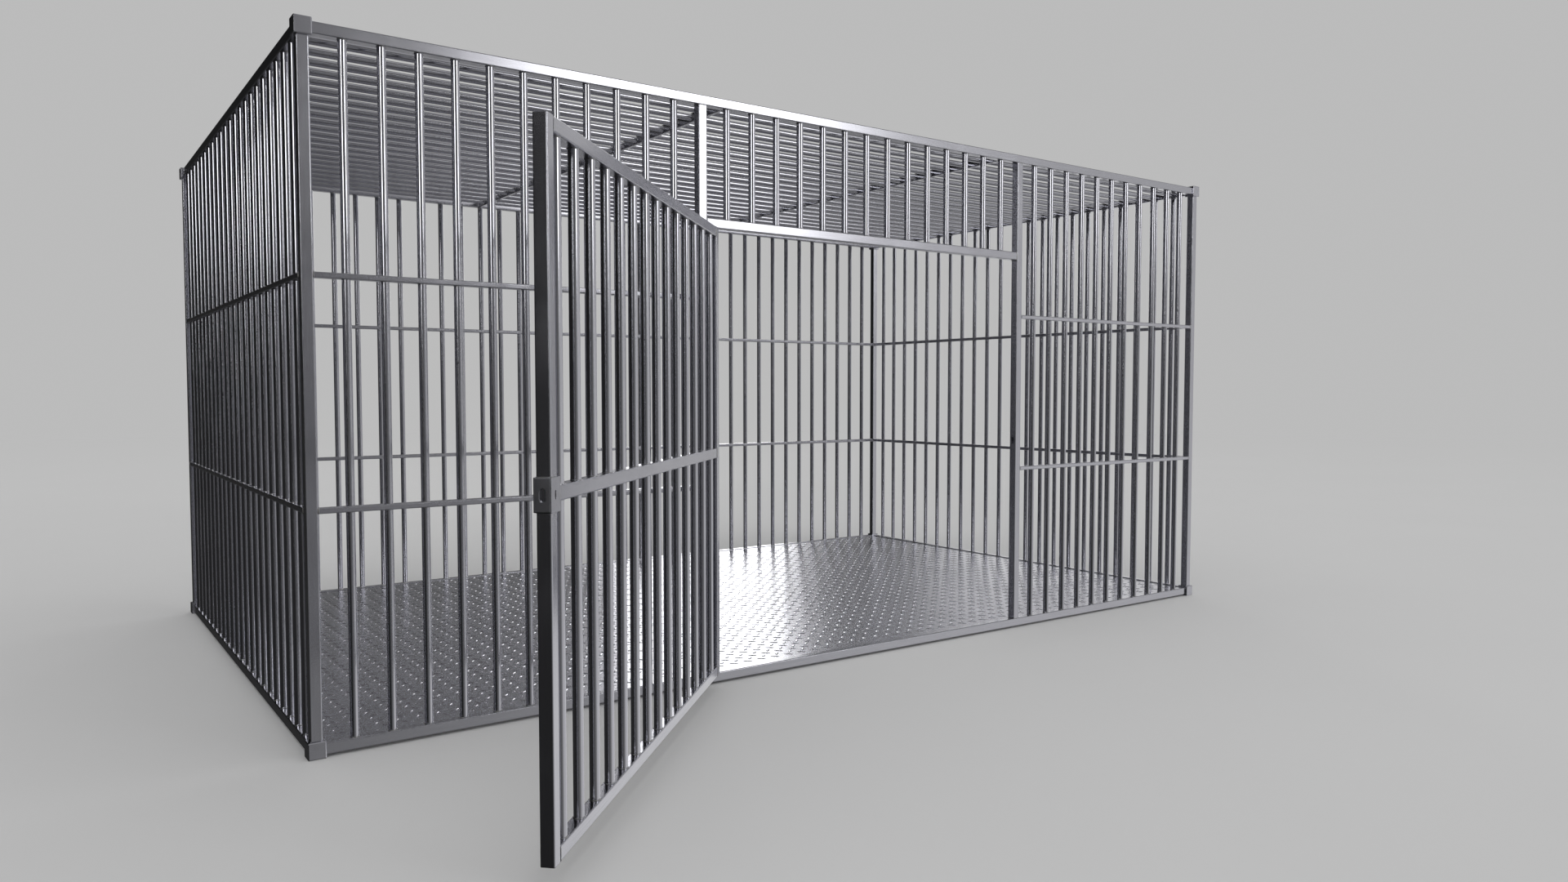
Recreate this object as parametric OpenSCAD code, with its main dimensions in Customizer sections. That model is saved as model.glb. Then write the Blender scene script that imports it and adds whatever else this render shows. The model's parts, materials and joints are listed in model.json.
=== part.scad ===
// Walk-in kennel cage: square tube frame, round bars, tread plate floor, one barred door with a lock.
// Millimetres, +Z up. The origin is at the centre of the plan, on the ground.
// The front, with the door, faces -Y. The door's hinge side is to the left, at -X.

/* [Cage] */
// Width of the cage along X, over the corner sleeves
cage_w = 5100; // [4600:10:5600]
// Depth of the cage along Y, over the corner sleeves
cage_d = 3030; // [2600:10:3400]
// Height of the cage, over the corner sleeves
cage_h = 2500; // [2300:10:2800]

/* [Tubes] */
// Side of the square tube in the posts and rails
tube = 40; // [36:1:44]
// Radius of the tube's long edges
tube_edge = 4; // [2:0.5:5]
// Wall of every tube
tube_wall = 3; // [2:0.5:3]
// Radius of the tubes' inner corners
tube_inner_edge = 2; // [1:0.5:3]
// Side of the cube-shaped sleeve at each corner
sleeve = 60; // [56:1:64]
// Width of the bevel on the sleeve's edges
sleeve_edge = 3; // [1.5:0.5:5]
// Thin side of the flat tube in the mid rails and roof cross rails
flat_tube = 20; // [18:1:24]

/* [Bars] */
// Diameter of every bar
bar_d = 30; // [24:1:32]
// Wall of every bar, which is a round tube
bar_wall = 2; // [1.5:0.5:3]
// Equal spaces across the front and back, which set the pitch of their bars
front_spaces = 39; // [39:1:39]
// Equal spaces across each side, which set the pitch of the side bars and roof bars
side_spaces = 23; // [20:1:24]
// Bars in each front bay, beside the door
bay_bars = 11; // [11:1:11]

/* [Rails] */
// Height of the middle of the lower mid rails
low_rail_z = 850; // [700:10:950]
// Height of the middle of the upper mid rails
high_rail_z = 1650; // [1500:10:1750]
// Height of the underside of the transom over the door
transom_z = 1945; // [1900:5:2000]

/* [Floor] */
// Height of the top of the floor plate
floor_z = 45; // [44:0.5:46]
// Thickness of the floor plate
floor_t = 5; // [3:0.5:6]
// Equal spaces between the joists across the width
joist_spaces = 10; // [10:2:14]
// Height of the feet under the joists
foot_h = 10; // [8:1:12]
// Side of each square foot
foot_side = 60; // [40:5:80]

/* [Door] */
// Angle by which the door stands open
door_open = 135; // [0:1:170]
// Gap between the door and each jamb
side_gap = 12; // [10:1:14]
// Gap under the door
bottom_gap = 10; // [8:1:14]
// Gap over the door
top_gap = 8; // [6:1:12]
// Height of the lock and of the middle of the door's mid rail
lock_z = 1000; // [950:10:1050]

/* [Hinges] */
// Distance of the hinge axis behind the jamb's inner face, along X
axis_back = 4; // [3:0.5:6]
// Radius of the hinge knuckles
knuckle_r = 9; // [8.5:0.1:9.2]
// Radius of the hinge pins
pin_r = 5; // [4:0.5:6]
// Radial clearance of the pins in the door's knuckles
pin_play = 0.05; // [0.02:0.01:0.1]
// Height of one hinge over its three knuckles
hinge_h = 120; // [90:1:150]
// Gap between one knuckle and the next
knuckle_gap = 1; // [0.5:0.1:2]

/* [Lock] */
// Width of the lock case along the door
case_w = 60; // [58:1:64]
// Height of the lock case
case_h = 88; // [80:1:100]
// Thickness of the lock case through the door
case_t = 47; // [44:1:50]
// How far the case stands out past the door's free edge
case_over = 8; // [6:0.5:9]
// Thickness of the bolt
bolt_t = 15; // [12:1:16]
// Height of the bolt
bolt_h = 34; // [30:1:36]
// How far the bolt's face sits back in the case when it is drawn
bolt_recess = 5; // [4:0.5:5.5]
// How far the bolt travels
bolt_throw = 25; // [22:0.5:25]
// Distance of the key barrel from the case's edge face
key_in = 28; // [28:0.5:30]

/* [Hidden] */
$fn = 48;

steel = [0.62, 0.62, 0.63];
polished_steel = [0.78, 0.78, 0.80];
plate_steel = [0.55, 0.55, 0.56];
dark_steel = [0.22, 0.22, 0.23];

// A cut runs this far past the faces that it goes through.
past = 1;

// The frame's tubes are centred in the sleeves, so they sit back from the sleeves' outer planes.
setback = (sleeve - tube) / 2;
line_in = sleeve / 2;
line_x = cage_w / 2 - line_in;
line_y = cage_d / 2 - line_in;
inner_x = line_x - tube / 2;
inner_y = line_y - tube / 2;
bottom_z = line_in;
top_z = cage_h - line_in;
rail_top = bottom_z + tube / 2;
roof_under = top_z - tube / 2;

// One even grid of bars, with the jambs in place of two of them.
first_jamb = bay_bars + 1;
last_jamb = front_spaces - first_jamb;
function front_x(i) = -line_x + i * 2 * line_x / front_spaces;
function side_y(i) = -line_y + i * 2 * line_y / side_spaces;
left_bay = [for (i = [1 : first_jamb - 1]) front_x(i)];
over_door = [for (i = [first_jamb + 1 : last_jamb - 1]) front_x(i)];
right_bay = [for (i = [last_jamb + 1 : front_spaces - 1]) front_x(i)];
back_bars = [for (i = [1 : front_spaces - 1]) front_x(i)];
side_bars = [for (i = [1 : side_spaces - 1]) side_y(i)];
hinge_jamb_x = front_x(first_jamb);
latch_jamb_x = front_x(last_jamb);
opening_left = hinge_jamb_x + tube / 2;
opening_right = latch_jamb_x - tube / 2;
roof_rail_x = cage_w / 6;

// The door, as it hangs when it is closed, inside the frame's thickness.
door_left = opening_left + side_gap;
door_right = opening_right - side_gap;
door_bottom = rail_top + bottom_gap;
door_top = transom_z - top_gap;
axis_x = opening_left - axis_back;
axis_y = -cage_d / 2;
hinge_z = [300, 1000, 1700];
knuckle_h = (hinge_h - 2 * knuckle_gap) / 3;
tab_t = 5;
tab_w = 22;
pin_head_h = 2;
pin_head_over = 1.5;
pin_head_r = pin_r + pin_head_over;

// The lock, measured from the case's edge face inwards, and from the middle of the door.
case_wall = 3;
edge_wall = 6;
case_edge = 3;
bolt_hole_play = 0.5;
strike_play = 1;
keyhole_w = 9;
keyhole_h = 23;
barrel_r = 6;
barrel_play = 0.05;
barrel_end_gap = 0.3;
bearing_r = 13;
bearing_l = 3;
keyway_w = 2.4;
keyway_h = 8;
keyway_l = 14;
bolt_tail = 54;
fork_start = 20;
fork_half = 7;
cam_r = 9;
cam_low = 8.5;
cam_t = 5;
cam_angle = 45;
cam_reach = bolt_throw / 2 / sin(cam_angle);
cam_tip_r = 3;
cam_tip_play = 3;
lug_w = 3;
lug_low = 11.5;
lug_high = 20;
// How far the lugs stand out past the far side of the cam
lug_past = 0.5;

// Outlines

module rounded_rect(w, h, r) {
    square([w - 2 * r, h], center = true);
    square([w, h - 2 * r], center = true);
    for (x = [-1, 1])
        for (y = [-1, 1])
            translate([x * (w / 2 - r), y * (h / 2 - r)])
                circle(r);
}

module tube_outline(w, h) {
    difference() {
        rounded_rect(w, h, tube_edge);
        rounded_rect(w - 2 * tube_wall, h - 2 * tube_wall, tube_inner_edge);
    }
}

module obround(w, h) {
    square([w, h - w], center = true);
    for (y = [-1, 1])
        translate([0, y * (h - w) / 2])
            circle(w / 2);
}

// Turns that lay an extruded outline along X or Y, with the outline's second side upright

module along_x(from, to) {
    translate([from, 0, 0])
        rotate([90, 0, 90])
            linear_extrude(to - from)
                children();
}

module along_y(from, to) {
    translate([0, to, 0])
        rotate([90, 0, 0])
            linear_extrude(to - from)
                children();
}

module along_z(from, to) {
    translate([0, 0, from])
        linear_extrude(to - from)
            children();
}

module bar_outline() {
    difference() {
        circle(bar_d / 2);
        circle(bar_d / 2 - bar_wall);
    }
}

// A row of upright bars along X or along Y, or of the holes that they go through

module row_x(xs, y, from, to) {
    for (x = xs)
        translate([x, y, 0])
            along_z(from, to) children();
}

module row_y(x, ys, from, to) {
    for (y = ys)
        translate([x, y, 0])
            along_z(from, to) children();
}

// Fixed frame

module post(side_x, side_y) {
    color(steel)
        translate([side_x * line_x, side_y * line_y, 0])
            along_z(setback, cage_h - setback)
                tube_outline(tube, tube);
}

module bevelled_square(side, cut) {
    half = side / 2;
    polygon([
        for (turn = [0 : 90 : 270])
            for (p = [[half, half - cut], [half - cut, half]])
                [p.x * cos(turn) - p.y * sin(turn), p.x * sin(turn) + p.y * cos(turn)]
    ]);
}

// A bevelled cube with one corner at the origin, from three crossed prisms
module bevelled_cube(side, cut) {
    half = side / 2;
    intersection() {
        translate([half, half, 0]) along_z(0, side) bevelled_square(side, cut);
        translate([0, half, half]) along_x(0, side) bevelled_square(side, cut);
        translate([half, 0, half]) along_y(0, side) bevelled_square(side, cut);
    }
}

// A sleeve with its outer corner at the origin and sockets for the post and two rails. The rail sockets
// run in past the post's rounded edges, so that no thin wedge of metal is left there.
module corner_sleeve() {
    socket_end = setback + tube - tube_edge;
    difference() {
        bevelled_cube(sleeve, sleeve_edge);
        translate([line_in, line_in, 0])
            along_z(setback, sleeve + past) rounded_rect(tube, tube, tube_edge);
        translate([0, line_in, line_in])
            along_x(socket_end, sleeve + past) rounded_rect(tube, tube, tube_edge);
        translate([line_in, 0, line_in])
            along_y(socket_end, sleeve + past) rounded_rect(tube, tube, tube_edge);
    }
}

module sleeve_at(side_x, side_y, level) {
    color(steel)
        translate([side_x * cage_w / 2, side_y * cage_d / 2, level > 0 ? cage_h : 0])
            mirror([side_x > 0 ? 1 : 0, 0, 0])
                mirror([0, side_y > 0 ? 1 : 0, 0])
                    mirror([0, 0, level > 0 ? 1 : 0])
                        corner_sleeve();
}

module rail_x(side_y, z) {
    color(steel)
        translate([0, side_y * line_y, z])
            along_x(-inner_x, inner_x) tube_outline(tube, tube);
}

module rail_y(side_x, z) {
    color(steel)
        translate([side_x * line_x, 0, z])
            along_y(-inner_y, inner_y) tube_outline(tube, tube);
}

module jamb(x) {
    translate([x, -line_y, 0])
        along_z(rail_top, roof_under) tube_outline(tube, tube);
}

module hinge_jamb() {
    color(steel) jamb(hinge_jamb_x);
}

// The latch jamb has a slot in its inner face for the bolt.
module latch_jamb() {
    color(steel)
        difference() {
            jamb(latch_jamb_x);
            translate([0, -line_y, lock_z])
                along_x(opening_right - past, opening_right + tube / 2)
                    obround(bolt_t + 2 * strike_play, bolt_h + 2 * strike_play);
        }
}

module transom() {
    color(steel)
        translate([0, -line_y, transom_z + tube / 2])
            along_x(opening_left, opening_right) tube_outline(tube, tube);
}

// Flat mid rails, drilled where the bars run through

module mid_rail_x(from, to, y, z, xs) {
    color(polished_steel)
        difference() {
            translate([0, y, z])
                along_x(from, to) tube_outline(tube, flat_tube);
            row_x(xs, y, z - flat_tube, z + flat_tube) circle(bar_d / 2);
        }
}

module mid_rail_y(side_x, z) {
    color(polished_steel)
        difference() {
            translate([side_x * line_x, 0, z])
                along_y(-inner_y, inner_y) tube_outline(tube, flat_tube);
            row_y(side_x * line_x, side_bars, z - flat_tube, z + flat_tube) circle(bar_d / 2);
        }
}

module mid_rail_back(z) {
    mid_rail_x(-inner_x, inner_x, line_y, z, back_bars);
}

module mid_rail_left_bay(z) {
    mid_rail_x(-inner_x, hinge_jamb_x - tube / 2, -line_y, z, left_bay);
}

module mid_rail_right_bay(z) {
    mid_rail_x(latch_jamb_x + tube / 2, inner_x, -line_y, z, right_bay);
}

// Roof

module roof_row(from, to) {
    for (y = side_bars)
        translate([0, y, top_z])
            along_x(from, to) children();
}

module roof_rail(x) {
    color(polished_steel)
        difference() {
            translate([x, 0, top_z])
                along_y(-inner_y, inner_y) tube_outline(flat_tube, tube);
            roof_row(x - flat_tube, x + flat_tube) circle(bar_d / 2);
        }
}

// Bars

module bars_side(side_x) {
    color(polished_steel)
        row_y(side_x * line_x, side_bars, rail_top, roof_under) bar_outline();
}

module bars_front(xs, from) {
    color(polished_steel)
        row_x(xs, -line_y, from, roof_under) bar_outline();
}

module bars_back() {
    color(polished_steel)
        row_x(back_bars, line_y, rail_top, roof_under) bar_outline();
}

module bars_roof() {
    color(polished_steel)
        roof_row(-inner_x, inner_x) bar_outline();
}

// Floor

// The plate lies between the rails and is notched round the corner sleeves.
module floor_plate() {
    notch = sleeve - (setback + tube);
    color(plate_steel)
        difference() {
            translate([-inner_x, -inner_y, floor_z - floor_t])
                cube([2 * inner_x, 2 * inner_y, floor_t]);
            for (x = [-1, 1])
                for (y = [-1, 1])
                    translate([x * inner_x, y * inner_y, floor_z - floor_t / 2])
                        cube([2 * notch, 2 * notch, floor_t + 2 * past], center = true);
        }
}

joist_h = floor_z - floor_t - foot_h;
joist_xs = [for (i = [1 : joist_spaces - 1]) -inner_x + i * 2 * inner_x / joist_spaces];
foot_ys = [-inner_y / 2, 0, inner_y / 2];

module floor_joists() {
    color(steel)
        for (x = joist_xs)
            translate([x, 0, foot_h + joist_h / 2])
                along_y(-inner_y, inner_y) tube_outline(tube, joist_h);
}

module joist_feet() {
    color(dark_steel)
        for (x = joist_xs)
            for (y = foot_ys)
                translate([x, y, 0])
                    along_z(0, foot_h) rounded_rect(foot_side, foot_side, tube_edge);
}

// Hinges

// Puts the door's pieces at the angle at which the door stands open.
module on_door() {
    translate([axis_x, axis_y, 0])
        rotate([0, 0, -door_open])
            translate([-axis_x, -axis_y, 0])
                children();
}

module knuckle(from, to, bore_r) {
    translate([axis_x, axis_y, from])
        difference() {
            cylinder(r = knuckle_r, h = to - from);
            translate([0, 0, -past])
                cylinder(r = bore_r, h = to - from + 2 * past);
        }
}

// The bottom and top knuckles of each hinge, with a tab each on the jamb's front face
module hinge_jamb_knuckles() {
    color(dark_steel)
        for (middle = hinge_z)
            for (from = [middle - hinge_h / 2, middle + hinge_h / 2 - knuckle_h]) {
                knuckle(from, from + knuckle_h, pin_r);
                difference() {
                    translate([axis_x - tab_w, -line_y - tube / 2 - tab_t, from])
                        cube([tab_w, tab_t, knuckle_h]);
                    translate([axis_x, axis_y, from - past])
                        cylinder(r = knuckle_r, h = knuckle_h + 2 * past);
                }
            }
}

// The middle knuckle of each hinge, with a tab on the stile's front face
module hinge_door_knuckles() {
    color(dark_steel)
        on_door()
            for (middle = hinge_z) {
                from = middle - knuckle_h / 2;
                knuckle(from, from + knuckle_h, pin_r + pin_play);
                difference() {
                    translate([axis_x, -line_y - tube / 2 - tab_t, from])
                        cube([tab_w + side_gap, tab_t, knuckle_h]);
                    translate([axis_x, axis_y, from - past])
                        cylinder(r = knuckle_r, h = knuckle_h + 2 * past);
                }
            }
}

module hinge_pins() {
    color(polished_steel)
        for (middle = hinge_z)
            translate([axis_x, axis_y, middle]) {
                cylinder(r = pin_r, h = hinge_h, center = true);
                for (side = [-1, 1])
                    translate([0, 0, side * (hinge_h + pin_head_h) / 2])
                        cylinder(r = pin_head_r, h = pin_head_h, center = true);
            }
}

// Door leaf

module door_stile(x, from, to) {
    color(steel)
        on_door()
            translate([x, -line_y, 0])
                along_z(from, to) tube_outline(tube, tube);
}

module door_rail(z) {
    color(steel)
        on_door()
            translate([0, -line_y, z])
                along_x(door_left + tube, door_right - tube) tube_outline(tube, tube);
}

// The mid rail ends at the lock case, and the bars run through it.
module door_mid_rail() {
    color(steel)
        on_door()
            difference() {
                translate([0, -line_y, lock_z])
                    along_x(door_left + tube, door_right + case_over - case_w)
                        tube_outline(tube, tube);
                row_x(over_door, -line_y, lock_z - tube, lock_z + tube) circle(bar_d / 2);
            }
}

module door_bars() {
    color(polished_steel)
        on_door()
            row_x(over_door, -line_y, door_bottom + tube, door_top - tube) bar_outline();
}

// Lock. Its own frame starts at the middle of the case's edge face: X runs into the door, Y towards the
// inside of the cage, Z up.

module in_lock() {
    on_door()
        translate([door_right + case_over, -line_y, lock_z])
            mirror([1, 0, 0])
                children();
}

module case_outline() {
    translate([case_w / 2, 0])
        rounded_rect(case_w, case_h, case_edge);
}

module keyhole() {
    translate([key_in, 0])
        obround(keyhole_w, keyhole_h);
}

module bearing() {
    translate([key_in, 0])
        difference() {
            circle(bearing_r);
            circle(barrel_r + barrel_play);
        }
}

module lock_case() {
    inside_y = case_t / 2 - case_wall;
    color(steel)
        in_lock() {
            difference() {
                along_y(-case_t / 2, inside_y) case_outline();
                along_y(-inside_y, inside_y + past)
                    translate([(edge_wall + case_w - case_wall) / 2, 0])
                        square([case_w - case_wall - edge_wall, case_h - 2 * case_wall], center = true);
                along_x(-past, edge_wall + past)
                    obround(bolt_t + 2 * bolt_hole_play, bolt_h + 2 * bolt_hole_play);
                along_y(-case_t, 0) keyhole();
            }
            along_y(-inside_y, -inside_y + bearing_l) bearing();
        }
}

module lock_cover() {
    inside_y = case_t / 2 - case_wall;
    color(steel)
        in_lock() {
            difference() {
                along_y(inside_y, case_t / 2) case_outline();
                along_y(0, case_t) keyhole();
            }
            along_y(inside_y - bearing_l, inside_y) bearing();
        }
}

// The bolt is forked behind its head to straddle the key barrel, and two lugs on it take the cam.
module lock_bolt() {
    tip_x = key_in + cam_reach * cos(cam_angle);
    lug_out = cam_tip_r + cam_tip_play;
    color(polished_steel)
        in_lock() {
            difference() {
                along_x(bolt_recess, bolt_tail) obround(bolt_t, bolt_h);
                translate([fork_start, -bolt_t, -fork_half])
                    cube([bolt_tail, 2 * bolt_t, 2 * fork_half]);
            }
            for (x = [tip_x - lug_out - lug_w, tip_x + lug_out])
                translate([x, 0, lug_low])
                    cube([lug_w, cam_low + cam_t + lug_past, lug_high - lug_low]);
        }
}

module key_barrel() {
    end_y = case_t / 2 - case_wall - barrel_end_gap;
    color(dark_steel)
        in_lock()
            difference() {
                along_y(-end_y, end_y) translate([key_in, 0]) circle(barrel_r);
                for (side = [-1, 1])
                    translate([key_in, side * end_y, 0])
                        cube([keyway_w, 2 * keyway_l, keyway_h], center = true);
            }
}

module lock_cam() {
    color(dark_steel)
        in_lock()
            along_y(cam_low, cam_low + cam_t)
                translate([key_in, 0])
                    difference() {
                        union() {
                            circle(cam_r);
                            rotate(cam_angle) {
                                translate([0, -cam_tip_r])
                                    square([cam_reach, 2 * cam_tip_r]);
                                translate([cam_reach, 0])
                                    circle(cam_tip_r);
                            }
                        }
                        circle(barrel_r);
                    }
}

post(-1, -1);  // post_front_left
post(1, -1);  // post_front_right
post(-1, 1);  // post_back_left
post(1, 1);  // post_back_right
sleeve_at(-1, -1, 0);  // sleeve_bottom_front_left
sleeve_at(1, -1, 0);  // sleeve_bottom_front_right
sleeve_at(-1, 1, 0);  // sleeve_bottom_back_left
sleeve_at(1, 1, 0);  // sleeve_bottom_back_right
sleeve_at(-1, -1, 1);  // sleeve_top_front_left
sleeve_at(1, -1, 1);  // sleeve_top_front_right
sleeve_at(-1, 1, 1);  // sleeve_top_back_left
sleeve_at(1, 1, 1);  // sleeve_top_back_right
rail_x(-1, bottom_z);  // bottom_rail_front
rail_x(1, bottom_z);  // bottom_rail_back
rail_y(-1, bottom_z);  // bottom_rail_left
rail_y(1, bottom_z);  // bottom_rail_right
rail_x(-1, top_z);  // top_rail_front
rail_x(1, top_z);  // top_rail_back
rail_y(-1, top_z);  // top_rail_left
rail_y(1, top_z);  // top_rail_right
mid_rail_y(-1, low_rail_z);  // low_rail_left
mid_rail_y(1, low_rail_z);  // low_rail_right
mid_rail_back(low_rail_z);  // low_rail_back
mid_rail_left_bay(low_rail_z);  // low_rail_left_bay
mid_rail_right_bay(low_rail_z);  // low_rail_right_bay
mid_rail_y(-1, high_rail_z);  // high_rail_left
mid_rail_y(1, high_rail_z);  // high_rail_right
mid_rail_back(high_rail_z);  // high_rail_back
mid_rail_left_bay(high_rail_z);  // high_rail_left_bay
mid_rail_right_bay(high_rail_z);  // high_rail_right_bay
hinge_jamb();
latch_jamb();
transom();
roof_rail(-roof_rail_x);  // roof_rail_left
roof_rail(roof_rail_x);  // roof_rail_right
bars_side(-1);  // bars_left
bars_side(1);  // bars_right
bars_back();
bars_front(left_bay, rail_top);  // bars_left_bay
bars_front(right_bay, rail_top);  // bars_right_bay
bars_front(over_door, transom_z + tube);  // bars_over_door
bars_roof();
floor_plate();
floor_joists();
joist_feet();
hinge_jamb_knuckles();
hinge_pins();
hinge_door_knuckles();
door_stile(door_left + tube / 2, door_bottom, door_top);  // door_hinge_stile
door_stile(door_right - tube / 2, lock_z + case_h / 2, door_top);  // door_latch_stile_upper
door_stile(door_right - tube / 2, door_bottom, lock_z - case_h / 2);  // door_latch_stile_lower
door_rail(door_top - tube / 2);  // door_top_rail
door_rail(door_bottom + tube / 2);  // door_bottom_rail
door_mid_rail();
door_bars();
lock_case();
lock_cover();
lock_bolt();
key_barrel();
lock_cam();
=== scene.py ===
# The looks of the walk-in kennel cage: tread plate lugs, weld beads, finishes, floor, lights and camera.
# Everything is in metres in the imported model's frame: +Z up, and the front with the door faces -Y.
import json
import math
import random

import bpy
import numpy as np
from mathutils import Matrix, Vector


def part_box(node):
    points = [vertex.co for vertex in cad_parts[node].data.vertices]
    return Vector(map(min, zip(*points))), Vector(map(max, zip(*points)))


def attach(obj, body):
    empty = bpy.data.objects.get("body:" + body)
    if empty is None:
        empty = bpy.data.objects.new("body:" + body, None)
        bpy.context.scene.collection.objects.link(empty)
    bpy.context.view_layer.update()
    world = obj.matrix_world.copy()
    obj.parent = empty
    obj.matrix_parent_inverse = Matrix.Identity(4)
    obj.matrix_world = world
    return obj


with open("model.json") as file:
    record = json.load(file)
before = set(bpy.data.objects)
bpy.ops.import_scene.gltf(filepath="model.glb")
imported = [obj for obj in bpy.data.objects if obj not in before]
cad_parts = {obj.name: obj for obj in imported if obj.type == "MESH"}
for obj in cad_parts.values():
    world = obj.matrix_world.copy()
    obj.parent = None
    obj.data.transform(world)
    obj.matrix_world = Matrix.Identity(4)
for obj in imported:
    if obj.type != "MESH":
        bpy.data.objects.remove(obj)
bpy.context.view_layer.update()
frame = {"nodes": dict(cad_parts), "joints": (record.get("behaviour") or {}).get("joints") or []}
nodes = frame["nodes"]
joints = {j["name"]: j for j in frame["joints"]}

# Side of the square tube and the radius of its long edges, and the diameter of a bar
TUBE = 0.040
TUBE_EDGE = 0.004
BAR = 0.030

# The door stands open at rest. TO_OPEN moves a point of the shut door to where it is at rest.
DOOR_OPEN = math.radians(-135)
HINGE = Vector(joints["door_swing"]["pos_m"])
TO_OPEN = (
    Matrix.Translation(HINGE)
    @ Matrix.Rotation(DOOR_OPEN, 4, "Z")
    @ Matrix.Translation(-HINGE)
)


# ---------------------------------------------------------------- node trees


class Tree:
    """A short way to write the node tree of a material or a world."""

    def __init__(self, owner):
        owner.use_nodes = True
        self.tree = owner.node_tree
        self.tree.nodes.clear()

    def add(self, kind, **inputs):
        """A node. Keywords are its input sockets or, failing that, its properties."""
        node = self.tree.nodes.new(kind)
        for key, value in inputs.items():
            if key in node.inputs:
                self.put(node.inputs[key], value)
            else:
                setattr(node, key, value)
        return node

    def put(self, socket, value):
        """Links a socket to another one, or sets it to a plain value."""
        if isinstance(value, bpy.types.NodeSocket):
            self.tree.links.new(value, socket)
        else:
            socket.default_value = value

    def math(self, operation, a, b=0.0, clamp=False):
        """An operation on two numbers or sockets. Clamped, it stays between 0 and 1."""
        node = self.tree.nodes.new("ShaderNodeMath")
        node.operation = operation
        node.use_clamp = clamp
        self.put(node.inputs[0], a)
        self.put(node.inputs[1], b)
        return node.outputs[0]

    def vector_math(self, operation, a, b=(0.0, 0.0, 0.0)):
        """The one number that comes out of an operation on two vectors."""
        node = self.tree.nodes.new("ShaderNodeVectorMath")
        node.operation = operation
        self.put(node.inputs[0], a)
        self.put(node.inputs[1], b)
        return node.outputs["Value"]

    def ramp(self, value, low, high, to_low=0.0, to_high=1.0):
        """Goes smoothly from to_low to to_high while value goes from low to high, and stays there."""
        node = self.tree.nodes.new("ShaderNodeMapRange")
        node.interpolation_type = "SMOOTHSTEP"
        self.put(node.inputs["Value"], value)
        self.put(node.inputs["From Min"], low)
        self.put(node.inputs["From Max"], high)
        self.put(node.inputs["To Min"], to_low)
        self.put(node.inputs["To Max"], to_high)
        return node.outputs["Result"]

    def mix(self, factor, a, b):
        """Colour a where factor is 0, and b where it is 1."""
        node = self.tree.nodes.new("ShaderNodeMix")
        node.data_type = "RGBA"
        self.put(node.inputs[0], factor)
        self.put(node.inputs[6], a)
        self.put(node.inputs[7], b)
        return node.outputs[2]

    def noise(self, vector, scale, detail=3.0, roughness=0.55):
        """A noise pattern between about 0.3 and 0.7, finer as the scale goes up."""
        node = self.tree.nodes.new("ShaderNodeTexNoise")
        self.put(node.inputs["Vector"], vector)
        node.inputs["Scale"].default_value = scale
        node.inputs["Detail"].default_value = detail
        node.inputs["Roughness"].default_value = roughness
        return node.outputs["Fac"]

    def vary(self, base, pattern, amount):
        """A number that goes up and down round base with a pattern whose middle is 0.5."""
        return self.math("ADD", base, self.math("MULTIPLY", self.math("SUBTRACT", pattern, 0.5), amount))

    def plus(self, base, pattern, amount):
        """A number plus a share of a pattern."""
        return self.math("ADD", base, self.math("MULTIPLY", pattern, amount))

    def metal(self, colour, roughness, normal):
        """The end of a bare metal's tree."""
        shader = self.add("ShaderNodeBsdfPrincipled", Metallic=1.0)
        self.put(shader.inputs["Base Color"], colour)
        self.put(shader.inputs["Roughness"], roughness)
        self.put(shader.inputs["Normal"], normal)
        self.surface(shader)

    def surface(self, shader, output="ShaderNodeOutputMaterial"):
        """Ends the tree with a shader node."""
        self.put(self.add(output).inputs["Surface"], shader.outputs[0])


def new_material(name):
    """A material and the tree to write it with."""
    material = bpy.data.materials.new(name)
    return material, Tree(material)


def grey(value, tint=0.0):
    """A grey, with a little blue in it for cool steel."""
    return (value, value, value * (1 + tint), 1.0)


# The grain runs along the tube: each of these turns the pattern and then squeezes it across the tube, or the
# same in all directions where there is no grain.
ALONG_X = ((0, 0, 0), (1, 40, 40))
ALONG_Y = ((0, 0, 0), (40, 1, 40))
ALONG_Z = ((0, 0, 0), (40, 40, 1))
ALONG_DOOR = ((0, 0, -DOOR_OPEN), (1, 40, 40))
NO_GRAIN = ((0, 0, 0), (8, 8, 8))

# How much bluer than grey the steel is, and the lugs where they are worn
STEEL_TINT = 0.08
WORN_TINT = 0.07
# How far from an edge the wear reaches, which is also how round the edge looks
WEAR_REACH = 0.003
# The lowest roughness: on bars, tubes and fittings, and on the tread plate
SMOOTHEST_STEEL = 0.06
SMOOTHEST_PLATE = 0.08


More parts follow.
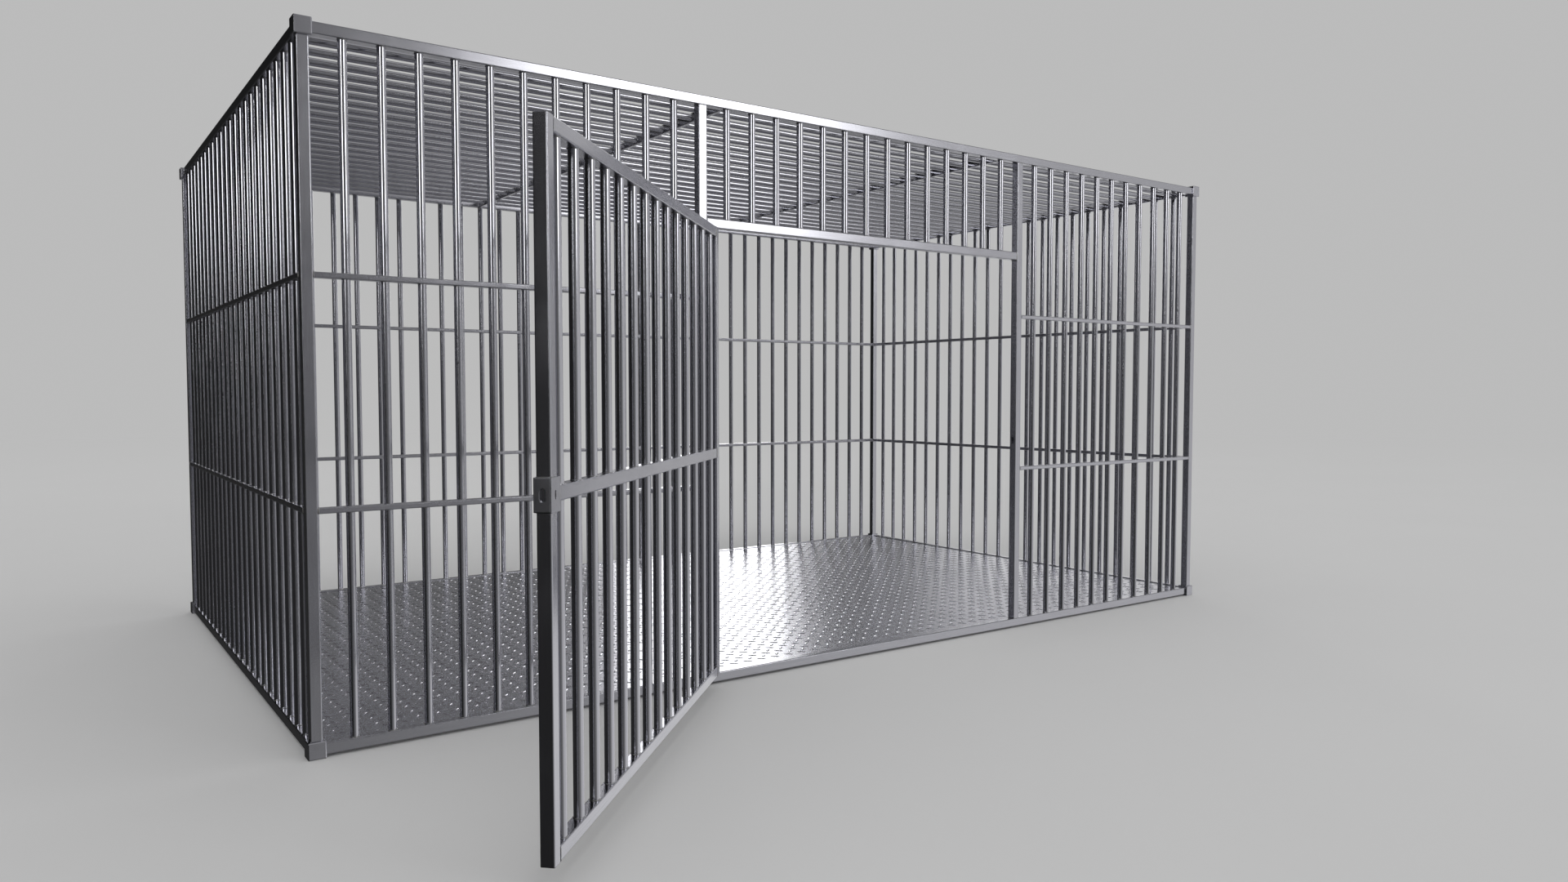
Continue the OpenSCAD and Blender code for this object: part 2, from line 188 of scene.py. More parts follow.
def steel(name, shade, rough, grain=NO_GRAIN, wear=0.0, smudge=0.05, bump=0.00002):
    """Bare steel: long fine grain, cloudy patches from handling, and brighter metal worn along the edges."""
    material, t = new_material(name)
    turn, stretch = grain
    here = t.add("ShaderNodeTexCoord").outputs["Object"]
    turned = t.add("ShaderNodeMapping", Vector=here, Rotation=turn).outputs[0]
    long_way = t.add("ShaderNodeMapping", Vector=turned, Scale=stretch).outputs[0]
    fine = t.noise(long_way, 28.0, 4.0, 0.65)
    streak = t.noise(long_way, 5.0, 3.0, 0.6)
    cloud = t.noise(here, 3.1, 4.0, 0.6)
    spot = t.noise(here, 34.0, 3.0, 0.6)
    handled = t.ramp(cloud, 0.42, 0.68)
    spotted = t.ramp(spot, 0.55, 0.75)
    low = grey(shade * 0.96, STEEL_TINT)
    high = grey(shade * 1.03, STEEL_TINT)
    colour = t.mix(t.ramp(streak, 0.3, 0.7), low, high)
    colour = t.mix(t.math("MULTIPLY", spotted, 0.10), colour, grey(shade * 0.8, STEEL_TINT))
    polish = t.vary(rough, fine, 0.05)
    polish = t.plus(polish, handled, smudge)
    polish = t.plus(polish, spotted, smudge * 0.3)
    relief = t.plus(t.math("MULTIPLY", fine, 0.5), spot, 0.25)
    rise = t.add("ShaderNodeBump", Strength=0.1, Distance=bump, Height=relief)
    if wear:
        rounded = t.add("ShaderNodeBevel", samples=4, Radius=WEAR_REACH).outputs[0]
        flat = t.add("ShaderNodeNewGeometry").outputs["Normal"]
        edge = t.ramp(t.vector_math("DOT_PRODUCT", rounded, flat), 0.995, 0.90)
        edge = t.math("MULTIPLY", edge, t.ramp(spot, 0.30, 0.62), clamp=True)
        edge = t.math("MULTIPLY", edge, wear)
        colour = t.mix(edge, colour, grey(shade * 1.35, STEEL_TINT))
        polish = t.plus(polish, edge, -0.08)
        t.put(rise.inputs["Normal"], rounded)
    t.metal(colour, t.math("MAXIMUM", polish, SMOOTHEST_STEEL, clamp=True), rise.outputs[0])
    return material


def tread_steel():
    """Tread plate: rolled steel with dull valleys and lugs polished by feet and paws."""
    material, t = new_material("tread_plate_steel")
    here = t.add("ShaderNodeTexCoord").outputs["Object"]
    height = t.add("ShaderNodeSeparateXYZ", Vector=here).outputs["Z"]
    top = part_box("floor_plate")[1].z
    worn = t.ramp(height, top + LUG_HIGH * 0.35, top + LUG_HIGH)
    fine = t.noise(here, 420.0, 3.0, 0.6)
    cloud = t.noise(here, 1.7, 5.0, 0.6)
    spot = t.noise(here, 26.0, 4.0, 0.6)
    patchy = t.ramp(cloud, 0.40, 0.66)
    spotted = t.ramp(spot, 0.55, 0.78)
    colour = t.mix(patchy, grey(0.60, STEEL_TINT), grey(0.57, STEEL_TINT))
    colour = t.mix(t.math("MULTIPLY", spotted, 0.12), colour, grey(0.45, STEEL_TINT))
    colour = t.mix(worn, colour, grey(0.70, WORN_TINT))
    polish = t.vary(0.24, fine, 0.04)
    polish = t.plus(polish, patchy, 0.02)
    polish = t.plus(polish, spotted, 0.02)
    polish = t.plus(polish, worn, -0.06)
    relief = t.plus(t.math("MULTIPLY", fine, 0.4), spot, 0.6)
    rise = t.add("ShaderNodeBump", Strength=0.05, Distance=0.00002, Height=relief)
    t.metal(colour, t.math("MAXIMUM", polish, SMOOTHEST_PLATE, clamp=True), rise.outputs[0])
    return material


def weld_steel():
    """Weld metal: brighter crests, and a faint straw and blue tint from the heat."""
    material, t = new_material("weld_metal")
    here = t.add("ShaderNodeTexCoord").outputs["Object"]
    fine = t.noise(here, 700.0, 3.0, 0.6)
    heat = t.noise(here, 45.0, 2.0, 0.5)
    colour = t.mix(t.ramp(heat, 0.35, 0.65), (0.50, 0.49, 0.47, 1), (0.46, 0.47, 0.50, 1))
    colour = t.mix(t.ramp(fine, 0.5, 0.8), colour, (0.72, 0.72, 0.71, 1))
    polish = t.ramp(fine, 0.3, 0.7, 0.24, 0.42)
    rise = t.add("ShaderNodeBump", Strength=0.4, Distance=0.0003, Height=fine)
    t.metal(colour, polish, rise.outputs[0])
    return material


def rubber():
    """Black foot rubber with dust."""
    material, t = new_material("foot_rubber_black")
    here = t.add("ShaderNodeTexCoord").outputs["Object"]
    grain = t.noise(here, 900.0, 3.0, 0.6)
    dust = t.noise(here, 30.0, 4.0, 0.6)
    colour = t.mix(t.ramp(dust, 0.45, 0.75), (0.018, 0.018, 0.019, 1), (0.07, 0.068, 0.064, 1))
    rise = t.add("ShaderNodeBump", Strength=0.4, Distance=0.0003, Height=grain)
    shader = t.add("ShaderNodeBsdfPrincipled")
    t.put(shader.inputs["Base Color"], colour)
    t.put(shader.inputs["Roughness"], t.ramp(grain, 0.3, 0.7, 0.6, 0.8))
    t.put(shader.inputs["Normal"], rise.outputs[0])
    t.surface(shader)
    return material


# ---------------------------------------------------------------- meshes


def make_piece(name, points, quads, material, body, smooth=True):
    """A mesh object from an array of points and an array of four-sided faces, smooth or as smooth says."""
    mesh = bpy.data.meshes.new(name)
    mesh.vertices.add(len(points))
    mesh.vertices.foreach_set("co", np.asarray(points, np.float32).ravel())
    mesh.loops.add(quads.size)
    mesh.loops.foreach_set("vertex_index", quads.astype(np.int32).ravel())
    mesh.polygons.add(len(quads))
    mesh.polygons.foreach_set("loop_start", np.arange(0, quads.size, 4, dtype=np.int32))
    mesh.polygons.foreach_set("use_smooth", np.broadcast_to(smooth, len(quads)).copy())
    mesh.update(calc_edges=True)
    mesh.materials.append(material)
    piece = bpy.data.objects.new(name, mesh)
    bpy.context.scene.collection.objects.link(piece)
    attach(piece, body)


def wrapped_quads(rings, sides, closed):
    """Faces between rings of points, each ring closed. The last ring joins the first if closed."""
    faces = []
    for i in range(rings if closed else rings - 1):
        here = i * sides
        ahead = ((i + 1) % rings) * sides
        for k in range(sides):
            beside = (k + 1) % sides
            faces.append((here + k, here + beside, ahead + beside, ahead + k))
    return np.array(faces)


def copies(shape, quads, places):
    """The shape and its faces repeated, moved to each of the places."""
    points = (shape[None, :, :] + places[:, None, :]).reshape(-1, 3)
    shift = (np.arange(len(places)) * len(shape))[:, None, None]
    return points, (quads[None, :, :] + shift).reshape(-1, 4)


# Tread plate lugs: long ovals in two directions that cross, on a square grid
LUG_CELL = 0.075
LUG_LONG = 0.044
LUG_WIDE = 0.017
LUG_HIGH = 0.0023
# The ends of a lug are a small flat tip, so that every face has four sides.
LUG_TIP = 0.04
# Along a lug: share of the half length
LUG_STATIONS = (-1.0, -0.86, -0.62, -0.3, 0.0, 0.3, 0.62, 0.86, 1.0)
# Across a lug: share of the half width, and share of the height. The base is sunk into the plate.
LUG_PROFILE = ((-1.0, -0.22), (-0.62, 0.52), (-0.22, 0.96), (0.22, 0.96), (0.62, 0.52), (1.0, -0.22))
# The powers that a lug's outline and its height follow towards its tips
LUG_OUTLINE = 0.55
LUG_FALL = 4
# Share of a cell by which the pattern is shifted on the plate, and the least room between a lug and the rim
LUG_SHIFT = (0.74, 0.31)
LUG_RIM = 0.004


def one_lug(turn):
    """A closed lug, its base just under height 0, turned from the X direction; and which faces are smooth."""
    sides = len(LUG_PROFILE)
    points = []
    for along in LUG_STATIONS:
        swell = max(LUG_TIP, (1 - along * along) ** LUG_OUTLINE)
        for across, up in LUG_PROFILE:
            rise = LUG_HIGH * (up * (1 - along**LUG_FALL) if up > 0 else up)
            points.append((along * LUG_LONG / 2, across * swell * LUG_WIDE / 2, rise))
    sheet = wrapped_quads(len(LUG_STATIONS), sides, closed=False)[:, ::-1]
    near = np.array([(0, 1, 4, 5), (1, 2, 3, 4)])
    far = near[:, ::-1] + (len(LUG_STATIONS) - 1) * sides
    # The underside and the ends are flat, so that they don't bend the light on the sides that show.
    smooth = np.append(np.arange(len(sheet)) % sides != sides - 1, [False] * 4)
    spin = np.array(Matrix.Rotation(turn, 3, "Z"))
    return np.array(points) @ spin.T, np.vstack([sheet, near, far]), smooth


def tread_lugs(material):
    """Every lug that fits on the plate, one kind at the corners of the grid and the other between."""
    low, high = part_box("floor_plate")
    edge = LUG_LONG / 2 + LUG_RIM
    all_points = []
    all_quads = []
    all_smooth = []
    count = 0
    for kind, turn in ((0, math.pi / 4), (0.5, -math.pi / 4)):
        shape, quads, smooth = one_lug(turn)
        columns = np.arange(int((high.x - low.x) / LUG_CELL) + 2)
        rows = np.arange(int((high.y - low.y) / LUG_CELL) + 2)
        xs = low.x + (columns + kind + LUG_SHIFT[0]) * LUG_CELL
        ys = low.y + (rows + kind + LUG_SHIFT[1]) * LUG_CELL
        xs = xs[(xs > low.x + edge) & (xs < high.x - edge)]
        ys = ys[(ys > low.y + edge) & (ys < high.y - edge)]
        across, deep = np.meshgrid(xs, ys)
        places = np.stack([across.ravel(), deep.ravel(), np.full(across.size, high.z)], axis=1)
        points, faces = copies(shape, quads, places)
        all_points.append(points)
        all_quads.append(faces + count)
        all_smooth.append(np.tile(smooth, len(places)))
        count += len(points)
    points = np.vstack(all_points)
    quads = np.vstack(all_quads)
    smooth = np.concatenate(all_smooth)
    make_piece("tread_lugs", points, quads, material, "cage", smooth)


X = Vector((1, 0, 0))
Y = Vector((0, 1, 0))
Z = Vector((0, 0, 1))

# Weld beads: the sides of a bead's section, the share of its radius that ripples, how much of a ripple a step
# of the path takes, in radians, and how far it sits out along the bar, as a share of its radius
BEAD_SIDES = 6
BEAD_RIPPLE = 0.12
BEAD_RIPPLE_STEP = 2.2
BEAD_SEAT = 0.25
# The most by which the start of a bead's ripples is shifted at random, in radians
BEAD_PHASE = 6.0
# Radius of the beads: at a bar's end, at a tube's end, and where a bar goes through a rail of cage or door
BAR_BEAD = 0.0019
TUBE_BEAD = 0.0016
RAIL_BEAD = 0.0011
DOOR_RAIL_BEAD = 0.0013


def ring_path(u, v, radius, steps=20):
    """Points and outward directions round a circle in the plane of u and v."""
    angles = np.arange(steps) * 2 * math.pi / steps
    outward = np.outer(np.cos(angles), u) + np.outer(np.sin(angles), v)
    return outward * radius, outward


def box_path(u, v, wide, high, corner=TUBE_EDGE, corner_steps=4, side_steps=7):
    """Points and outward directions round a rounded rectangle, wide along u and high along v."""
    points = []
    outward = []
    half = (wide / 2 - corner, high / 2 - corner)
    for quarter in range(4):
        sign = ((1, 1), (-1, 1), (-1, -1), (1, -1))[quarter]
        onward = ((-1, 1), (-1, -1), (1, -1), (1, 1))[quarter]
        middle = np.array([sign[0] * half[0], sign[1] * half[1]])
        for i in range(corner_steps + 1):
            angle = (quarter + i / corner_steps) * math.pi / 2
            direction = np.array([math.cos(angle), math.sin(angle)])
            points.append(middle + direction * corner)
            outward.append(direction)
        ahead = np.array([onward[0] * half[0], onward[1] * half[1]]) + direction * corner
        for i in range(1, side_steps):
            points.append(points[-1] + (ahead - points[-1]) / (side_steps - i + 1))
            outward.append(direction)
    frame_uv = np.array([u, v])
    return np.array(points) @ frame_uv, np.array(outward) @ frame_uv


class Welds:
    """Collects the weld beads on one body into one mesh."""

    def __init__(self, seed):
        self.points = []
        self.quads = []
        self.count = 0
        self.random = random.Random(seed)

    def bead(self, path, along, centre, radius):
        """A closed bead round a path, with ripples. It sits a little out along the way that the bar goes."""
        points, outward = path
        steps = len(points)
        phase = self.random.random() * BEAD_PHASE
        size = []
        for i in range(steps):
            wave = math.sin(phase + i * BEAD_RIPPLE_STEP)
            uneven = self.random.random() - 0.5
            size.append(radius * (1 + BEAD_RIPPLE * wave + BEAD_RIPPLE * uneven))
        size = np.array(size)[:, None, None]
        angles = np.arange(BEAD_SIDES) * 2 * math.pi / BEAD_SIDES
        away = np.cos(angles)[None, :, None] * outward[:, None, :]
        up = np.sin(angles)[None, :, None] * np.array(along)[None, None, :]
        seat = np.array(along) * radius * BEAD_SEAT + np.array(centre)
        ring = points[:, None, :] + size * (away + up) + seat
        self.points.append(ring.reshape(-1, 3))
        self.quads.append(wrapped_quads(steps, BEAD_SIDES, closed=True)[:, ::-1] + self.count)
        self.count += steps * BEAD_SIDES

    def bar(self, centre, along, radius=BAR_BEAD):
        """A bead round a bar that goes on along the given way from centre."""
        u = X if abs(along.y) > 0.5 else Y
        self.bead(ring_path(u, along.cross(u), BAR / 2), along, centre, radius)

    def tube(self, centre, along, wide, high):
        """A bead round a tube's end, which is as wide and as high as given."""
        if abs(along.z) > 0.5:
            u, v = X, Y * along.z
        else:
            u, v = Z.cross(along), Z
        self.bead(box_path(u, v, wide, high), along, centre, TUBE_BEAD)

    def piece(self, name, material, body, slot, place=None):
        """One object of all the beads, moved by a matrix if one is given."""
        points = np.vstack(self.points)
        if place is not None:
            turn = np.array(place.to_3x3())
            points = points @ turn.T + np.array(place.translation)
        make_piece(name, points, np.vstack(self.quads), material, body)


def node_points(node, place=None):
    """A CAD node's points as an array, moved by a matrix if one is given."""
    mesh = nodes[node].data
    points = np.empty(len(mesh.vertices) * 3, np.float32)
    mesh.vertices.foreach_get("co", points)
    points = points.reshape(-1, 3).astype(float)
    if place is not None:
        points = points @ np.array(place.to_3x3()).T + np.array(place.translation)
    return points


def corners(node, place=None):
    """A CAD node's lowest and highest corners, once a matrix has moved it if one is given."""
    points = node_points(node, place)
    return Vector(points.min(0)), Vector(points.max(0))


def bar_centres(node, axis, place=None):
    """Where a group's bars are along one axis: the middles of the clumps of its points."""
    values = np.sort(node_points(node, place)[:, axis])
    breaks = np.flatnonzero(np.diff(values) > BAR)
    starts = np.concatenate([[0], breaks + 1])
    ends = np.concatenate([breaks, [len(values) - 1]])
    return [float(values[a] + values[b]) / 2 for a, b in zip(starts, ends)]


# For each group of upright bars: its name, the axis it is spread along, and the mid rails it goes through
UPRIGHT_GROUPS = (
    ("bars_left", 1, ("low_rail_left", "high_rail_left")),
    ("bars_right", 1, ("low_rail_right", "high_rail_right")),
    ("bars_back", 0, ("low_rail_back", "high_rail_back")),
    ("bars_left_bay", 0, ("low_rail_left_bay", "high_rail_left_bay")),
    ("bars_right_bay", 0, ("low_rail_right_bay", "high_rail_right_bay")),
    ("bars_over_door", 0, ()),
)
RAILS_ALONG_X = (
    "low_rail_back", "high_rail_back", "low_rail_left_bay", "high_rail_left_bay",
    "low_rail_right_bay", "high_rail_right_bay", "transom",
)
RAILS_ALONG_Y = (
    "low_rail_left", "high_rail_left", "low_rail_right", "high_rail_right",
    "roof_rail_left", "roof_rail_right",
)


def cage_welds(material):
    """The cage's beads: where bars and tubes end, and where bars go through the mid rails and roof rails."""
    welds = Welds(11)
    for group, axis, rails in UPRIGHT_GROUPS:
        low, high = corners(group)
        for place in bar_centres(group, axis):
            centre = (low + high) / 2
            centre[axis] = place
            for level, along in ((low.z, Z), (high.z, -Z)):
                welds.bar(Vector((centre.x, centre.y, level)), along)
            for rail in rails:
                under, over = corners(rail)
                welds.bar(Vector((centre.x, centre.y, over.z)), Z, RAIL_BEAD)
                welds.bar(Vector((centre.x, centre.y, under.z)), -Z, RAIL_BEAD)
    low, high = corners("bars_roof")
    level = (low.z + high.z) / 2
    for y in bar_centres("bars_roof", 1):
        welds.bar(Vector((low.x, y, level)), X)
        welds.bar(Vector((high.x, y, level)), -X)
        for rail in ("roof_rail_left", "roof_rail_right"):
            left, right = corners(rail)
            welds.bar(Vector((right.x, y, level)), X, RAIL_BEAD)
            welds.bar(Vector((left.x, y, level)), -X, RAIL_BEAD)
    for rail in RAILS_ALONG_X:
        low, high = corners(rail)
        centre = (low + high) / 2
        for x, along in ((low.x, X), (high.x, -X)):
            welds.tube(Vector((x, centre.y, centre.z)), along, high.y - low.y, high.z - low.z)
    for rail in RAILS_ALONG_Y:
        low, high = corners(rail)
        centre = (low + high) / 2
        for y, along in ((low.y, Y), (high.y, -Y)):
            welds.tube(Vector((centre.x, y, centre.z)), along, high.x - low.x, high.z - low.z)
    for jamb in ("hinge_jamb", "latch_jamb"):
        low, high = corners(jamb)
        centre = (low + high) / 2
        for z, along in ((low.z, Z), (high.z, -Z)):
            welds.tube(Vector((centre.x, centre.y, z)), along, TUBE, TUBE)
    welds.piece("weld_beads_cage", material, "cage", "frame_steel")


def door_welds(material):
    """The door's beads, worked out with the door closed and then turned with it."""
    closed = TO_OPEN.inverted()
    welds = Welds(12)
    low, high = corners("door_bars", closed)
    y = (low.y + high.y) / 2
    under, over = corners("door_mid_rail", closed)
    for x in bar_centres("door_bars", 0, closed):
        for level, along, radius in (
            (low.z, Z, BAR_BEAD), (high.z, -Z, BAR_BEAD),
            (over.z, Z, DOOR_RAIL_BEAD), (under.z, -Z, DOOR_RAIL_BEAD),
        ):
            welds.bar(Vector((x, y, level)), along, radius)
    for rail in ("door_top_rail", "door_bottom_rail", "door_mid_rail"):
        left, right = corners(rail, closed)
        level = (left.z + right.z) / 2
        for x, along in ((left.x, X), (right.x, -X)):
            welds.tube(Vector((x, y, level)), along, TUBE, TUBE)
    for stile, end, along in (("door_latch_stile_upper", 0, Z), ("door_latch_stile_lower", 1, -Z)):
        ends = corners(stile, closed)
        centre = (ends[0] + ends[1]) / 2
        welds.tube(Vector((centre.x, y, ends[end].z)), along, TUBE, TUBE)
    welds.piece("weld_beads_door", material, "door", "frame_steel", TO_OPEN)


# ---------------------------------------------------------------- finishes


def finish_nodes():
    """Gives every CAD node its material, by the way its grain runs."""
    frame_look = dict(shade=0.54, rough=0.19, wear=0.4)
    finishes = {
        "frame_x": steel("frame_steel_x", grain=ALONG_X, **frame_look),
        "frame_y": steel("frame_steel_y", grain=ALONG_Y, **frame_look),
        "frame_z": steel("frame_steel_z", grain=ALONG_Z, **frame_look),
        "frame_door": steel("frame_steel_door", grain=ALONG_DOOR, **frame_look),
        "sleeve": steel("sleeve_steel_satin", 0.56, 0.20, wear=0.5),
        "bar_z": steel("bar_steel_upright", 0.58, 0.15, grain=ALONG_Z, bump=0.00001),
        "bar_x": steel("bar_steel_roof", 0.58, 0.15, grain=ALONG_X, bump=0.00001),
        "flat_x": steel("flat_rail_steel_x", 0.58, 0.17, grain=ALONG_X, wear=0.5),
        "flat_y": steel("flat_rail_steel_y", 0.58, 0.15, grain=ALONG_Y, wear=0.5),
        "lock": steel("lock_case_satin", 0.50, 0.28, wear=0.8, smudge=0.09),
        "hinge": steel("hinge_steel_satin", 0.46, 0.30, wear=0.6, smudge=0.08),
        "pin": steel("pin_steel_bright", 0.62, 0.18),
        "works": steel("lock_works_dark", 0.16, 0.38),
        "tread": tread_steel(),
        "rubber": rubber(),
    }
    rules = (
        ("post_", "frame_z"), ("hinge_jamb_knuckles", "hinge"), ("hinge_door_knuckles", "hinge"),
        ("hinge_jamb", "frame_z"), ("latch_jamb", "frame_z"), ("hinge_pins", "pin"),
        ("sleeve_", "sleeve"), ("roof_rail_", "flat_y"), ("transom", "frame_x"),
        ("bottom_rail_front", "frame_x"), ("bottom_rail_back", "frame_x"), ("bottom_rail_", "frame_y"),
        ("top_rail_front", "frame_x"), ("top_rail_back", "frame_x"), ("top_rail_", "frame_y"),
        ("low_rail_left_bay", "flat_x"), ("low_rail_right_bay", "flat_x"), ("low_rail_back", "flat_x"),
        ("low_rail_", "flat_y"),
        ("high_rail_left_bay", "flat_x"), ("high_rail_right_bay", "flat_x"), ("high_rail_back", "flat_x"),
        ("high_rail_", "flat_y"),
        ("bars_roof", "bar_x"), ("bars_", "bar_z"), ("door_bars", "bar_z"),
        ("door_hinge_stile", "frame_z"), ("door_latch_stile", "frame_z"), ("door_", "frame_door"),
        ("floor_plate", "tread"), ("floor_joists", "frame_y"), ("joist_feet", "rubber"),
        ("lock_case", "lock"), ("lock_cover", "lock"), ("lock_bolt", "pin"), ("lock_cam", "works"),
        ("key_barrel", "works"),
    )
    for name, node in nodes.items():
        look = next(key for start, key in rules if name.startswith(start))
        node.data.materials.clear()
        node.data.materials.append(finishes[look])
    return finishes


# ---------------------------------------------------------------- studio

# How far away the backdrop is, and how far the floor goes
STUDIO_RADIUS = 60.0
# How pale the floor is, how much that varies, and how far out it starts and ends turning into the backdrop
FLOOR_PALE = 0.72
FLOOR_VARIES = 0.01
FLOOR_FADE = (6.0, 28.0)
# Brightness of the backdrop, about the same as that of the lit floor
BACKDROP = 0.50
# How many flat pieces the round backdrop has, and the height of its foot
BACKDROP_SIDES = 64
BACKDROP_FOOT = -1.0


def link_stage(name, mesh, material):
    """Puts a piece of the studio in the scene."""
    mesh.materials.append(material)
    thing = bpy.data.objects.new(name, mesh)
    bpy.context.scene.collection.objects.link(thing)
    # The steel mirrors the world's soft boxes and tones, not the floor or the backdrop.
    thing.visible_glossy = False
    return thing


def floor():
    """A plain pale floor. Far from the cage it turns into the backdrop, so that no horizon shows."""
    r = STUDIO_RADIUS
    mesh = bpy.data.meshes.new("studio_floor")
    mesh.from_pydata([(-r, -r, 0), (r, -r, 0), (r, r, 0), (-r, r, 0)], [], [(0, 1, 2, 3)])
    material, t = new_material("studio_floor_pale")
    here = t.add("ShaderNodeTexCoord").outputs["Object"]
    cloud = t.noise(here, 0.6, 4.0, 0.5)
    pale = t.mix(cloud, grey(FLOOR_PALE - FLOOR_VARIES), grey(FLOOR_PALE + FLOOR_VARIES))
    lit = t.add("ShaderNodeBsdfDiffuse", Roughness=0.0)
    t.put(lit.inputs["Color"], pale)
    far = t.add("ShaderNodeEmission", Color=grey(BACKDROP), Strength=1.0)
    shader = t.add("ShaderNodeMixShader")
    t.put(shader.inputs[0], t.ramp(t.vector_math("LENGTH", here), *FLOOR_FADE))
    t.put(shader.inputs[1], lit.outputs[0])
    t.put(shader.inputs[2], far.outputs[0])
    t.surface(shader)
    link_stage("studio_floor", mesh, material)


def backdrop():
    """A plain wall all round, seen by the camera only, as bright as the floor far away."""
    low = []
    high = []
    walls = []
    for i in range(BACKDROP_SIDES):
        angle = i * 2 * math.pi / BACKDROP_SIDES
        x = STUDIO_RADIUS * math.cos(angle)
        y = STUDIO_RADIUS * math.sin(angle)
        beside = (i + 1) % BACKDROP_SIDES
        low.append((x, y, BACKDROP_FOOT))
        high.append((x, y, STUDIO_RADIUS))
        walls.append((i, beside, BACKDROP_SIDES + beside, BACKDROP_SIDES + i))
    mesh = bpy.data.meshes.new("studio_backdrop")
    mesh.from_pydata(low + high, [], walls)
    material, t = new_material("studio_backdrop_pale")
    t.surface(t.add("ShaderNodeEmission", Color=grey(BACKDROP), Strength=1.0))
    wall = link_stage("studio_backdrop", mesh, material)
    wall.visible_diffuse = False
    wall.visible_shadow = False
    wall.visible_transmission = False


def span(t, value, low, high, edge):
    """1 between low and high, with soft edges."""
    rise = t.ramp(value, low - edge, low + edge)
    fall = t.ramp(value, high + edge, high - edge)
    return t.math("MULTIPLY", rise, fall)


# What the steel mirrors is given by direction: an angle in degrees from straight ahead or straight behind,
# towards +X, or a height from -1 (down) to 1 (up). Each line has where a smooth change starts and ends, and
# the values at its start and its end. The values are brightness in a TONE, and a factor in a DIMS.
FRONT_TONES = ((-50, 10, 0.02, 0.18), (5, 50, 0.0, 0.40))
BACK_TONE = (-7, 14, 0.02, 0.25)
BACK_RIGHT_TONE = (41, 47, 0.0, 0.40)
HIGH_UP_DIMS = (0.40, 0.65, 1.0, 0.35)
OVERHEAD_TONE = (0.66, 0.92, 0.0, 0.26)
DOWN_DIMS = (-0.30, -0.75, 1.0, 0.3)
# How soft the seam between front and back is, and the edges of the soft boxes: an angle in degrees, a height
SEAM = 0.05
BOX_EDGE_ANGLE = 1
BOX_EDGE_HEIGHT = 0.02
# How the front and the back change with height, and the height at which that stops
FRONT_TILT = -0.4
BACK_TILT = -1.6
TILT_LIMIT = 0.35

# Soft boxes: front or back, from and to angle, from and to height, and brightness
SOFT_BOXES = (
    ("front", -54, -36, 0.10, 0.42, 3.6),
    ("front", 22.5, 38.0, 0.13, 0.42, 3.6),
    ("back", 27.2, 35.6, 0.06, 0.42, 4.2),
    ("back", 43.0, 55.0, 0.04, 0.42, 0.24),
)


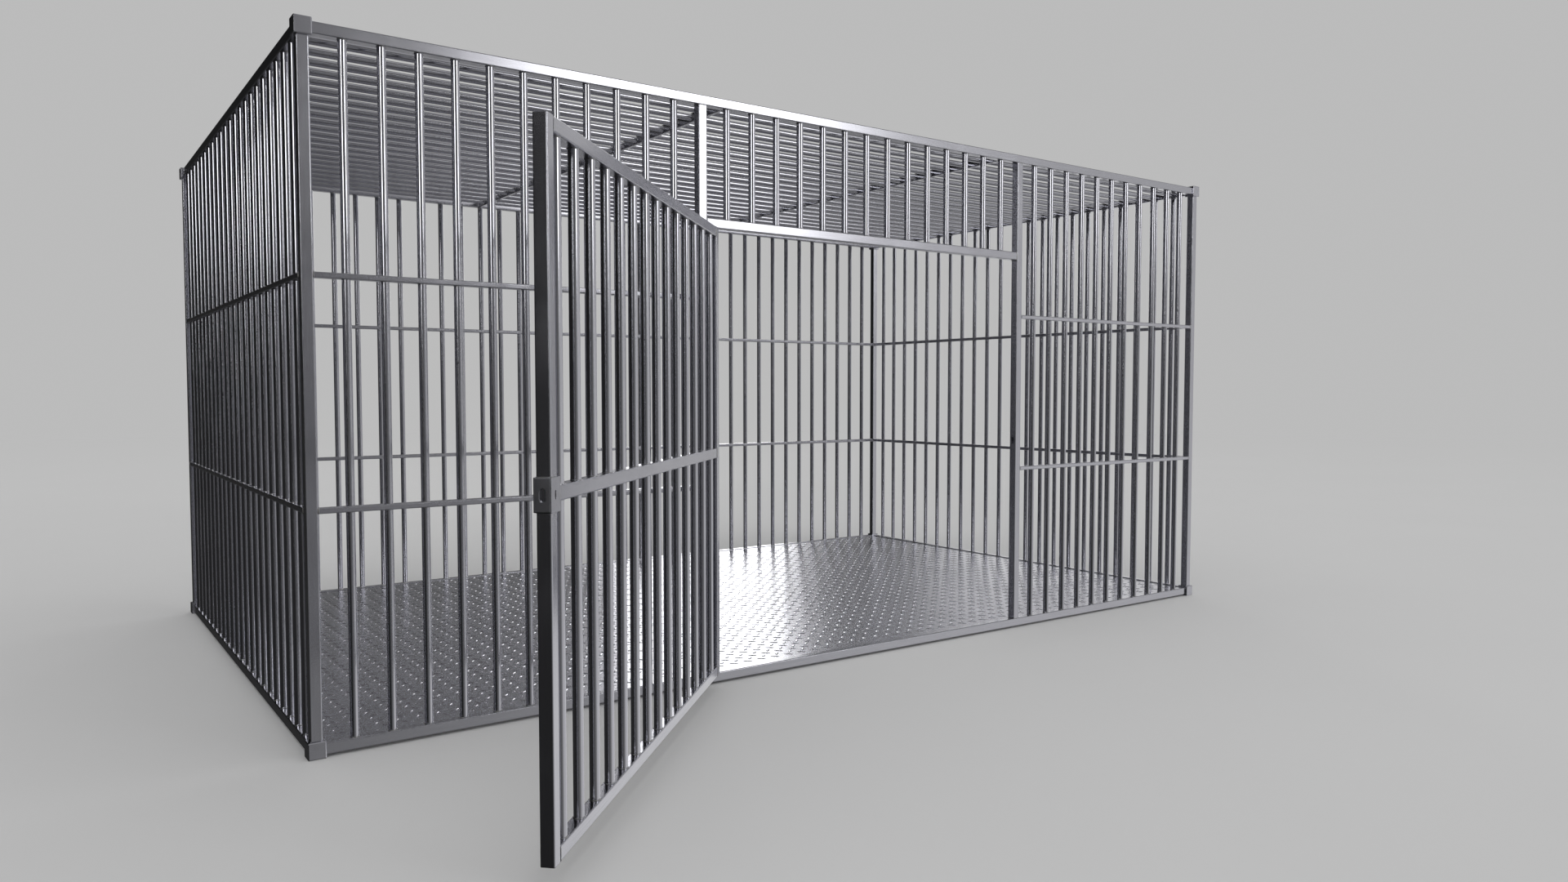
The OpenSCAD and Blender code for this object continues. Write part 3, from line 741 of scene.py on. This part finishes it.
def surround():
    """What the steel mirrors: dim to the left, brighter to the right and overhead, with the soft boxes."""
    world = bpy.data.worlds.new("studio")
    bpy.context.scene.world = world
    t = Tree(world)
    deg = math.radians
    way = t.add("ShaderNodeTexCoord").outputs["Generated"]
    x, y, z = t.add("ShaderNodeSeparateXYZ", Vector=way).outputs
    turn = t.math("ARCTAN2", x, t.math("ABSOLUTE", y))
    behind = t.ramp(y, -SEAM, SEAM)
    ahead = t.math("SUBTRACT", 1.0, behind)
    tilt = t.math("MINIMUM", t.math("MAXIMUM", z, -TILT_LIMIT), TILT_LIMIT)

    def tone(low, high, to_low, to_high):
        return t.ramp(turn, deg(low), deg(high), to_low, to_high)

    front = t.math("ADD", tone(*FRONT_TONES[0]), tone(*FRONT_TONES[1]))
    front = t.math("MULTIPLY", front, t.plus(1.0, tilt, FRONT_TILT))
    back = t.math("MULTIPLY", tone(*BACK_TONE), t.plus(1.0, tilt, BACK_TILT))
    back = t.math("ADD", back, tone(*BACK_RIGHT_TONE))
    level = t.math("ADD", t.math("MULTIPLY", front, ahead), t.math("MULTIPLY", back, behind))
    level = t.math("MULTIPLY", level, t.ramp(z, *HIGH_UP_DIMS))
    level = t.math("ADD", level, t.ramp(z, *OVERHEAD_TONE))
    level = t.math("MULTIPLY", level, t.ramp(z, *DOWN_DIMS))
    for side, low, high, bottom, top, bright in SOFT_BOXES:
        here = behind if side == "back" else ahead
        across = span(t, turn, deg(low), deg(high), deg(BOX_EDGE_ANGLE))
        box = t.math("MULTIPLY", across, span(t, z, bottom, top, BOX_EDGE_HEIGHT))
        level = t.math("ADD", level, t.math("MULTIPLY", t.math("MULTIPLY", box, here), bright))
    background = t.add("ShaderNodeBackground", Strength=1.0)
    t.put(background.inputs["Color"], level)
    t.surface(background, "ShaderNodeOutputWorld")


# The light from above: its strength, how wide it is, and how it is tilted
SKY_STRENGTH = 1.45
SKY_WIDTH = math.radians(120)
SKY_TILT = (math.radians(14), math.radians(-10), 0)


def sky_light():
    """Even light from above on the floor."""
    data = bpy.data.lights.new("sky_light", "SUN")
    data.energy = SKY_STRENGTH
    data.angle = SKY_WIDTH
    lamp = bpy.data.objects.new("sky_light", data)
    lamp.rotation_euler = SKY_TILT
    lamp.visible_glossy = False
    bpy.context.scene.collection.objects.link(lamp)


# The photograph's viewpoint: off the front left corner, at chest height, looking slightly down
CAMERA_PLACE = (-3.3185, -5.3518, 1.2560)
CAMERA_TURN = (math.radians(87.349), 0, math.radians(-35.708))
CAMERA_SENSOR = 36.0
CAMERA_LENS = 24.463
CAMERA_REACH = 200.0


def camera():
    """The scene's camera, where the photograph's was."""
    data = bpy.data.cameras.new("camera")
    data.sensor_fit = "HORIZONTAL"
    data.sensor_width = CAMERA_SENSOR
    data.lens = CAMERA_LENS
    data.clip_end = CAMERA_REACH
    cam = bpy.data.objects.new("camera", data)
    cam.location = CAMERA_PLACE
    cam.rotation_euler = CAMERA_TURN
    bpy.context.scene.collection.objects.link(cam)
    bpy.context.scene.camera = cam


# ---------------------------------------------------------------- the scene

camera()
bpy.context.scene.view_settings.view_transform = "Standard"
finishes = finish_nodes()
tread_lugs(finishes["tread"])
weld = weld_steel()
cage_welds(weld)
door_welds(weld)
floor()
backdrop()
surround()
sky_light()
